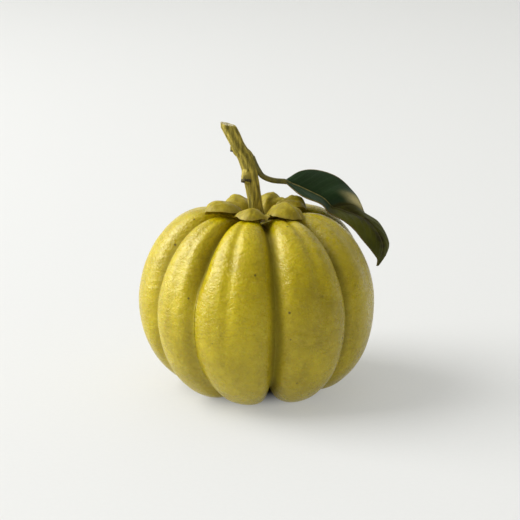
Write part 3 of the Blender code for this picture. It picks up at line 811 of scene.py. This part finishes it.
def sepal_start():
    """Radius where the sepals begin, clear of the twig as far up as the stem pit is deep and a little more."""
    line = smooth_line(TWIG_LINE, FINE_STEPS)
    top = SEPAL_START_DEPTHS * STEM_PIT_DEPTH
    return SEPAL_TWIG_GAP + max(abs(right) + radius for right, up, radius in line if up <= top)


def sepal_outline(share):
    """Half width of a sepal, as a share of its widest, from the stem end at 0 to the tip at 1."""
    tip = max(0.0, (share - SEPAL_WIDEST) / (1 - SEPAL_WIDEST))
    return SEPAL_TIP_BLUNTNESS + (1 - SEPAL_TIP_BLUNTNESS) * (1 - tip**SEPAL_SIDE_POWER) ** SEPAL_TIP_POWER


def sepal_ends(share):
    """How much of its thickness a sepal has along its length: none at either end and all of it in the middle."""
    return max(0.0, 1 - abs(2 * share - 1) ** SEPAL_END_POWER) ** SEPAL_END_ROUNDING


def keel(across):
    """Height across a sepal, from 0 at the edges to 1 on the rounded keel along its middle."""
    low = (1 + SEPAL_KEEL_ROUNDING**2) ** 0.5
    return (low - (across**2 + SEPAL_KEEL_ROUNDING**2) ** 0.5) / (low - SEPAL_KEEL_ROUNDING)


def sepal_rise(spot, across, share, thickness, seed):
    """How thick a sepal is at a spot: a keel with soft lumps and a crease, on a thin rim."""
    place = Vector((spot.x, spot.y, seed * SEPAL_LUMP_STEP))
    lump = sum(height * noise.noise(place / size) for size, height in SEPAL_LUMP_SIZES)
    crease = SEPAL_CREASE * bell(across, SEPAL_CREASE_ACROSS, SEPAL_CREASE_BREADTH)
    crease = crease * smooth_step(share, *SEPAL_CREASE_RISE)
    ends = sepal_ends(share)
    flesh = thickness * keel(across) * ends * (SEPAL_FULLNESS + lump - crease)
    return float(flesh + SEPAL_RIM * ends * (1 - across**SEPAL_RIM_POWER))


def lens_faces(rows, columns):
    """Quads of two grids, the lower one stored after the upper one, that share the upper one's outer edge."""
    shift = rows * columns
    edge = [k for k in range(shift) if k // columns in (0, rows - 1) or k % columns in (0, columns - 1)]
    shared = {shift + k: k for k in edge}
    upper = grid_faces(rows, columns)
    lower = [tuple(shared.get(v + shift, v + shift) for v in reversed(face)) for face in upper]
    return upper + lower


def sepal_piece(skin, name, azimuth, reach, width, thickness, tip_rise, material, seed):
    """A plump keeled lens with a thin rim, lying on the skin, its side corners raised."""
    angle = math.radians(azimuth)
    outward = Vector((math.sin(angle), -math.cos(angle), 0))
    sideways = Vector((math.cos(angle), math.sin(angle), 0))
    rooms = {side: sepal_room(azimuth, side) for side in (-1, 1)}
    start = sepal_start()
    top, bottom, rims = [], [], []
    for i in range(SEPAL_STEPS_LONG + 1):
        share = (1 - math.cos(math.pi * i / SEPAL_STEPS_LONG)) / 2
        radius = start + (reach - start) * share
        half = width / 2 * sepal_outline(share)
        for j in range(SEPAL_STEPS_ACROSS + 1):
            across = -math.cos(math.pi * j / SEPAL_STEPS_ACROSS)
            room = rooms[1 if across > 0 else -1]
            limit = radius * math.tan(room) - SEPAL_GAP / 2 / math.cos(room)
            spot = AXIS + outward * radius + sideways * (across * min(half, limit))
            foot = bridged_height(skin, spot) + SEPAL_LIFT
            foot += SEPAL_CORNER_LIFT * across * across * math.sin(math.pi * share) + tip_rise * share * share
            top.append((spot.x, spot.y, foot + sepal_rise(spot, across, share, thickness, seed)))
            bottom.append((spot.x, spot.y, foot))
            rims.append(max(abs(across), abs(2 * share - 1)))
    faces = lens_faces(SEPAL_STEPS_LONG + 1, SEPAL_STEPS_ACROSS + 1)
    return add_piece(name + "_flesh", top + bottom, faces, material, name, "sepal", {"rim": rims + rims})


# Twig


def tube_points(line, radii, sides, shape=None):
    """Rings of points around a line; shape(ring number, angle) scales the radius there."""
    rings = []
    up_hint = np.array([0.0, -1.0, 0.0])
    for i, middle in enumerate(line):
        run = line[min(i + 1, len(line) - 1)] - line[max(i - 1, 0)]
        run = run / np.linalg.norm(run)
        east = np.cross(run, up_hint)
        east = east / np.linalg.norm(east)
        front = np.cross(east, run)
        ring = []
        for side in range(sides):
            turn = 2 * math.pi * side / sides
            out = radii[i] * (shape(i, turn) if shape else 1.0)
            ring.append(middle + (east * math.sin(turn) + front * math.cos(turn)) * out)
        rings.append(ring)
    return rings


def tube_piece(name, rings, material, cap_ends=(True, True), **kwargs):
    """A piece skinned over rings of points; an end that is wanted closed gets a fan of faces."""
    sides = len(rings[0])
    vertices = [point for ring in rings for point in ring]
    faces = grid_faces(len(rings), sides, closed_across=True)
    for end, wanted in zip((0, len(rings) - 1), cap_ends):
        if wanted:
            vertices.append(np.mean(rings[end], axis=0))
            middle = len(vertices) - 1
            faces += [(end * sides + j, end * sides + (j + 1) % sides, middle) for j in range(sides)]
    marks = kwargs.pop("marks", None)
    if marks:
        marks = {key: list(value) + [0.5] * (len(vertices) - len(value)) for key, value in marks.items()}
    return add_piece(name, vertices, faces, material, marks=marks, **kwargs)


def twig_line():
    """Points along the twig's middle and its radius at each."""
    raw = smooth_line(TWIG_LINE, TWIG_STEPS)
    foot = np.array(TWIG_FOOT)
    return np.stack([raw[:, 0], np.zeros(len(raw)), raw[:, 1]], axis=1) + foot, raw[:, 2]


def twig_bump(height, around):
    """How far the bark stands out at a height above the twig's foot and an azimuth around it, in radians."""
    out = 0.0
    for centre, azimuth, size, tall, broad in TWIG_BUMPS:
        turn = (math.degrees(around) - azimuth + 180) % 360 - 180
        if abs(turn) < broad / 2 and abs(height - centre) < tall / 2:
            lengthwise = math.cos(math.pi * (height - centre) / tall) ** BUMP_ROUNDING
            out += size * math.cos(math.pi * turn / broad) * lengthwise
    return out


def twig_pieces(bark, cut):
    line, radii = twig_line()

    def bark_radius(i, turn):
        ribs = sum(size * math.cos(count * turn + twist * i) for count, size, twist in BARK_RIBS)
        spot = Vector((math.cos(turn), math.sin(turn), line[i][2] / BARK_LUMP_LENGTH))
        lump = BARK_LUMPS * noise.noise(spot * BARK_LUMPS_AROUND)
        flare = TWIG_FLARE * float(smooth_step(i / len(line), *TWIG_FLARE_RISE))
        return 1 + flare + ribs + lump + twig_bump(line[i][2] - TWIG_FOOT.z, turn) / radii[i]

    rings = tube_points(line, radii, TWIG_SIDES, bark_radius)
    middle = np.mean(rings[-1], axis=0)

    def cut_height(point):
        return middle[2] - TWIG_TOP_DROP - TWIG_CUT_RISE * (point[0] - middle[0]) / (2 * radii[-1])

    rings = [[np.array([*p[:2], min(p[2], cut_height(p))]) for p in ring] for ring in rings]
    rings[-1] = [np.array([*p[:2], cut_height(p)]) for p in rings[-1]]
    turns = [2 * math.pi * side / TWIG_SIDES for side in range(TWIG_SIDES)]
    count, _, twist = BARK_RIBS[0]
    ridge = [0.5 + 0.5 * math.cos(count * turn + twist * i) for i in range(len(rings)) for turn in turns]
    tube_piece("twig_bark", rings, bark, (True, False), replaced="twig", slot="bark", marks={"ridge": ridge})
    cut_end_piece(rings[-1], cut)


def cut_end_piece(edge, material):
    """The slanting cut across the twig's top, uneven where its fibres tore."""
    centre = np.mean(edge, axis=0)
    disc = [edge]
    for share in CUT_RINGS:
        inner = [centre + (point - centre) * share for point in edge]
        disc.append([p + np.array([0, 0, CUT_FIBRES * noise.noise(Vector(p) / CUT_FIBRE_SIZE)]) for p in inner])
    tube_piece("twig_cut_end", disc, material, (False, True), slot="bark")


def twig_at(height):
    """The twig's middle and radius at a height above its foot."""
    line, radii = twig_line()
    i = int(np.argmin(np.abs(line[:, 2] - TWIG_FOOT.z - height)))
    return line[i], radii[i]


def stub_pieces(name, high, low, azimuth, radius, lean, bark, dark):
    """A broken side shoot that hugs the twig and points down, and its blunt hollow end."""
    turn = math.radians(azimuth)
    out = np.array([math.sin(turn), -math.cos(turn), 0])
    above, radius_above = twig_at(high)
    below, radius_below = twig_at(low)
    start = above + out * (radius_above - radius * STUB_SINK)
    end = below + out * (radius_below + lean)
    shares = np.linspace(0, 1, STUB_RINGS)
    line = np.array([start + (end - start) * share for share in shares])
    swell = [math.sin(math.pi / 2 * min(1, share * STUB_SWELL_RATE)) for share in shares]
    radii = [radius * (STUB_START_SHARE + (1 - STUB_START_SHARE) * swelling) for swelling in swell]
    count, size, twist = STUB_RIBS
    rings = tube_points(line, radii, STUB_SIDES, lambda i, around: 1 + size * math.cos(count * around + i * twist))
    bark_rings = rings[:-2]
    ridge = [0.8 - 0.75 * i / (STUB_RINGS - 1) for i in range(len(bark_rings)) for _ in range(STUB_SIDES)]
    tube_piece(name + "_bark", bark_rings, bark, (True, False), slot="bark", marks={"ridge": ridge})
    centre = np.mean(rings[-1], axis=0)
    inward = (start - end) / np.linalg.norm(start - end) * STUB_HOLLOW_DEPTH
    hollow = [[centre + (p - centre) * share + inward * depth for p in rings[-1]] for share, depth in STUB_HOLLOW]
    tube_piece(name + "_end", rings[-3:-1] + hollow, dark, (False, True), slot="bark")


# Leaf


def stalk_start():
    """Where the CAD's leaf stalk springs: a point clear of the bark on the twig's right."""
    line = smooth_line(TWIG_LINE, FINE_STEPS)
    i = int(np.argmin(np.abs(line[:, 1] - STALK_HEIGHT)))
    slope = math.atan2(line[i + 1][0] - line[i - 1][0], line[i + 1][1] - line[i - 1][1])
    reach = line[i][2] + CLEARANCE
    right = line[i][0] + math.cos(slope) * reach
    return np.array(TWIG_FOOT) + np.array([right, 0, line[i][1] - math.sin(slope) * reach])


def stalk_line():
    """Points along the leaf stalk's middle and its radius at each."""
    raw = smooth_line(STALK_LINE, FINE_STEPS)
    return raw[:, :3] + stalk_start(), raw[:, 3]


def blade_lines(stalk_end, stalk_radius):
    """Points along the midrib, and the way from each to the near and to the far margin."""
    midrib = smooth_line([stalk_end, *(stalk_end + np.array(point) for point in LEAF_MIDRIB)], LEAF_STEPS)
    near = smooth_line([(0, -stalk_radius, 0), *LEAF_NEAR_MARGIN], LEAF_STEPS)
    far = smooth_line([(0, stalk_radius, 0), *LEAF_FAR_MARGIN], LEAF_STEPS) * LEAF_FAR_SHARE
    return midrib, near, far


def draped_push(points, skin):
    """How far to move a section of the leaf so that it keeps clear of the fruit."""
    push = Vector((0, 0, 0))
    for _ in range(DRAPE_PASSES):
        needed = Vector((0, 0, 0))
        for point in points:
            here = Vector(point) + push
            spot, normal = skin.find_nearest(here)[:2]
            gap = (here - spot).dot(normal)
            if gap < LEAF_SKIN_GAP and LEAF_SKIN_GAP - gap > needed.length:
                needed = normal * (LEAF_SKIN_GAP - gap)
        if needed.length == 0:
            break
        push = push + needed
    return np.array(push)


def blade_lift(along, across, size):
    """How far the blade stands off its flat section: bulges between veins, a trough, an arch and a wavy margin."""
    side = abs(across)
    quilt = QUILT_HEIGHT * math.sin(VEIN_PAIRS * math.pi * (along - side * QUILT_SLANT)) * math.sin(math.pi * side)
    stretched = along * TROUGH_TAPER
    taper = math.sin(math.pi * stretched) ** 0.5 if stretched < 1 else 0.0
    trough = -TROUGH_DEPTH * bell(across, 0, TROUGH_BREADTH) * taper
    arch = LEAF_ARCH * size * (1 - (2 * side - 1) ** 2)
    wave = LEAF_WAVE * math.sin(LEAF_WAVES * math.pi * along) * across * side * math.sin(math.pi * along)
    return quilt + trough + arch + wave


def fold_lift(past, across):
    """How far the bend lifts the blade, past being the way on from the fold: a roll, then a crease."""
    fold = FOLD_ROLL * bell(past, *FOLD_ROLL_PLACE) - FOLD_CREASE * bell(past, *FOLD_CREASE_PLACE)
    return fold * (FOLD_NEAR_SHARE + (1 - FOLD_NEAR_SHARE) * smooth_step(across, *FOLD_HALF))


def blade_piece(skin, midrib, near, far, material):
    """The blade, a bent sheet. Returns the points above its midrib and the way up from the sheet at each."""
    rows = len(midrib)
    run = np.gradient(midrib, axis=0)
    run = run / np.linalg.norm(run, axis=1, keepdims=True)
    up = np.cross(run, far - near)
    up = up / np.linalg.norm(up, axis=1, keepdims=True)
    up = up * np.sign(up[:, 2:3] + TINY)
    places = np.linspace(-1, 1, 2 * LEAF_HALF_COLUMNS + 1)
    sheet = []
    marks = {"along": [], "across": [], "bent": [], "fold": [], "painted_sheen": []}
    for i in range(rows):
        along = i / (rows - 1)
        section = [midrib[i] + near[i], midrib[i] + near[i] * 0.5, midrib[i]]
        middle = midrib[i] + draped_push(section, skin)
        for across in places:
            margin = far[i] if across > 0 else near[i]
            past = along - (FOLD_AT + (FOLD_FAR if across > 0 else FOLD_NEAR) * across)
            lift = blade_lift(along, across, np.linalg.norm(margin)) + fold_lift(past, across)
            sheet.append(middle + margin * abs(across) + up[i] * lift)
            marks["along"].append(along)
            marks["across"].append(across)
            marks["bent"].append(smooth_step(past, -FOLD_EDGE, FOLD_EDGE))
            marks["fold"].append(bell(past, *FOLD_SHADE_PLACE))
            marks["painted_sheen"].append(bell(past, *SHEEN_PLACE) * smooth_step(across, *SHEEN_HALF))
    made = add_piece("leaf_blade", sheet, grid_faces(rows, len(places)), material, "leaf", "leaf", marks)
    shell = made.modifiers.new("thickness", "SOLIDIFY")
    shell.thickness = LEAF_THICKNESS
    shell.offset = 0
    return np.array(sheet).reshape(rows, -1, 3)[:, LEAF_HALF_COLUMNS], up


def midrib_piece(spine, up, material):
    """The raised midrib, thinning towards the leaf's tip and darker past the fold, a painted shade."""
    shares = [i / (len(spine) - 1) for i in range(len(spine))]
    radii = [RIB_RADIUS * (1 - RIB_TAPER * share) for share in shares]
    rings = tube_points((spine + up * RIB_LIFT)[:-RIB_END_ROWS], radii, RIB_SIDES)
    bent = [smooth_step(share, *RIB_BEND) for share in shares[: len(rings)] for _ in range(RIB_SIDES)]
    tube_piece("leaf_midrib", rings, material, slot="leaf", marks={"bent": bent})


def leaf_pieces(skin, blade, midrib_skin, stalk_skin):
    stalk, stalk_radii = stalk_line()
    midrib, near, far = blade_lines(stalk[-1], stalk_radii[-1])
    spine, up = blade_piece(skin, midrib, near, far, blade)
    midrib_piece(spine, up, midrib_skin)
    line = np.concatenate([stalk, midrib[1 : STALK_RUN_ON + 1]])
    thinning = np.linspace(stalk_radii[-1], STALK_END_RADIUS, STALK_RUN_ON + 1)[1:]
    rings = tube_points(line, np.concatenate([stalk_radii, thinning]), STALK_SIDES)
    tube_piece("leaf_stalk", rings, stalk_skin, slot="leaf")


# Blossom scar


def scar_piece(material):
    """The dried blossom scar: a flat button with rays round its rim, as large as the CAD's."""
    low, high = Vector(scar_low), Vector(scar_high)
    centre = (low + high) / 2
    radius = (high.x - low.x) / 2
    half_height = (high.z - low.z) / 2
    sides = SCAR_RAYS * SCAR_SIDES_PER_RAY
    rings = []
    for share in np.linspace(SCAR_ENDS, 1 - SCAR_ENDS, SCAR_RINGS):
        angle = math.pi * share
        ring = []
        for side in range(sides):
            around = 2 * math.pi * side / sides
            ray = math.cos(SCAR_RAYS * around)
            out = radius * (0.86 + 0.12 * ray) * math.sin(angle)
            rise = -half_height * math.cos(angle) * (0.8 + 0.2 * ray * math.sin(angle))
            across = (out * math.sin(around), -out * math.cos(around), rise)
            ring.append(np.array(centre) + np.array(across))
        rings.append(ring)
    tube_piece("blossom_scar_rays", rings, material, replaced="blossom_scar", slot="scar")


# Stage, light and camera


def studio():
    """A paper floor that bends up into the wall behind the fruit."""
    profile = [(-FLOOR_HALF_DEPTH, 0.0)]
    for i in range(WALL_BEND_STEPS + 1):
        angle = math.pi / 2 * i / WALL_BEND_STEPS
        back = FLOOR_HALF_DEPTH - WALL_BEND + WALL_BEND * math.sin(angle)
        profile.append((back, WALL_BEND - WALL_BEND * math.cos(angle)))
    profile.append((FLOOR_HALF_DEPTH, WALL_HEIGHT))
    vertices = [(x, y, z) for y, z in profile for x in (-FLOOR_HALF_WIDTH, FLOOR_HALF_WIDTH)]
    data = bpy.data.meshes.new("paper")
    data.from_pydata(vertices, [], grid_faces(len(profile), 2))
    data.shade_smooth()
    data.materials.append(floor_material())
    paper = bpy.data.objects.new("paper", data)
    bpy.context.scene.collection.objects.link(paper)


def stand_off(thing, aim, azimuth, elevation, distance):
    """Puts a lamp or camera in the scene, a distance from its aim in a direction in degrees, and turns it there."""
    bpy.context.scene.collection.objects.link(thing)
    az, el = math.radians(azimuth), math.radians(elevation)
    back = Vector((math.sin(az) * math.cos(el), -math.cos(az) * math.cos(el), math.sin(el)))
    thing.location = aim + back * distance
    thing.rotation_euler = back.to_track_quat("Z", "Y").to_euler()


def window():
    data = bpy.data.lights.new("window", "AREA")
    data.shape = "RECTANGLE"
    data.size = WINDOW_WIDTH
    data.size_y = WINDOW_HEIGHT
    data.energy = WINDOW_POWER
    data.color = WINDOW_TINT
    lamp = bpy.data.objects.new("window", data)
    aim = AXIS + Vector((0, 0, EQUATOR_HEIGHT))
    stand_off(lamp, aim, WINDOW_AZIMUTH, WINDOW_ELEVATION, WINDOW_DISTANCE)


def room_light():
    """Light from the room, which dims and warms from the window's side to the right and the front."""
    world = bpy.data.worlds.new("room")
    bpy.context.scene.world = world
    n = Nodes(world)
    direction = n.add("ShaderNodeTexCoord").outputs["Generated"]
    split = n.add("ShaderNodeSeparateXYZ", {0: direction}).outputs
    right_and_front = n.math("SUBTRACT", split["X"], split["Y"])
    strength = n.ramp(right_and_front, -1, 1, ROOM_LIGHT_LEFT, ROOM_LIGHT_RIGHT, "LINEAR")
    warmth = n.ramp(right_and_front, ROOM_WARMS_FROM, ROOM_WARM_AT, kind="LINEAR")
    n.finish("Background", Color=n.mix(warmth, ROOM_TINT_LEFT, ROOM_TINT_RIGHT), Strength=strength)


def camera():
    data = bpy.data.cameras.new("camera")
    data.lens = CAMERA_LENS
    data.sensor_width = CAMERA_SENSOR
    made = bpy.data.objects.new("camera", data)
    stand_off(made, AXIS + Vector(CAMERA_AIM), 0, CAMERA_ELEVATION, CAMERA_DISTANCE)
    bpy.context.scene.camera = made
    bpy.context.scene.view_settings.view_transform = "Standard"


body = fruit_piece(skin_material())
corners = [vertex.co for vertex in body.data.vertices]
skin = BVHTree.FromPolygons(corners, [tuple(face.vertices) for face in body.data.polygons])
sepal_skin = sepal_material()
for number, sepal in enumerate(SEPALS):
    sepal_piece(skin, *sepal, sepal_skin, number)
bark = bark_material()
twig_pieces(bark, cut_material())
stub_end = stub_end_material()
for stub in STUBS:
    stub_pieces(*stub, bark, stub_end)
leaf_pieces(skin, leaf_material(), midrib_material(), stalk_material())
scar_piece(scar_material())
studio()
window()
room_light()
camera()
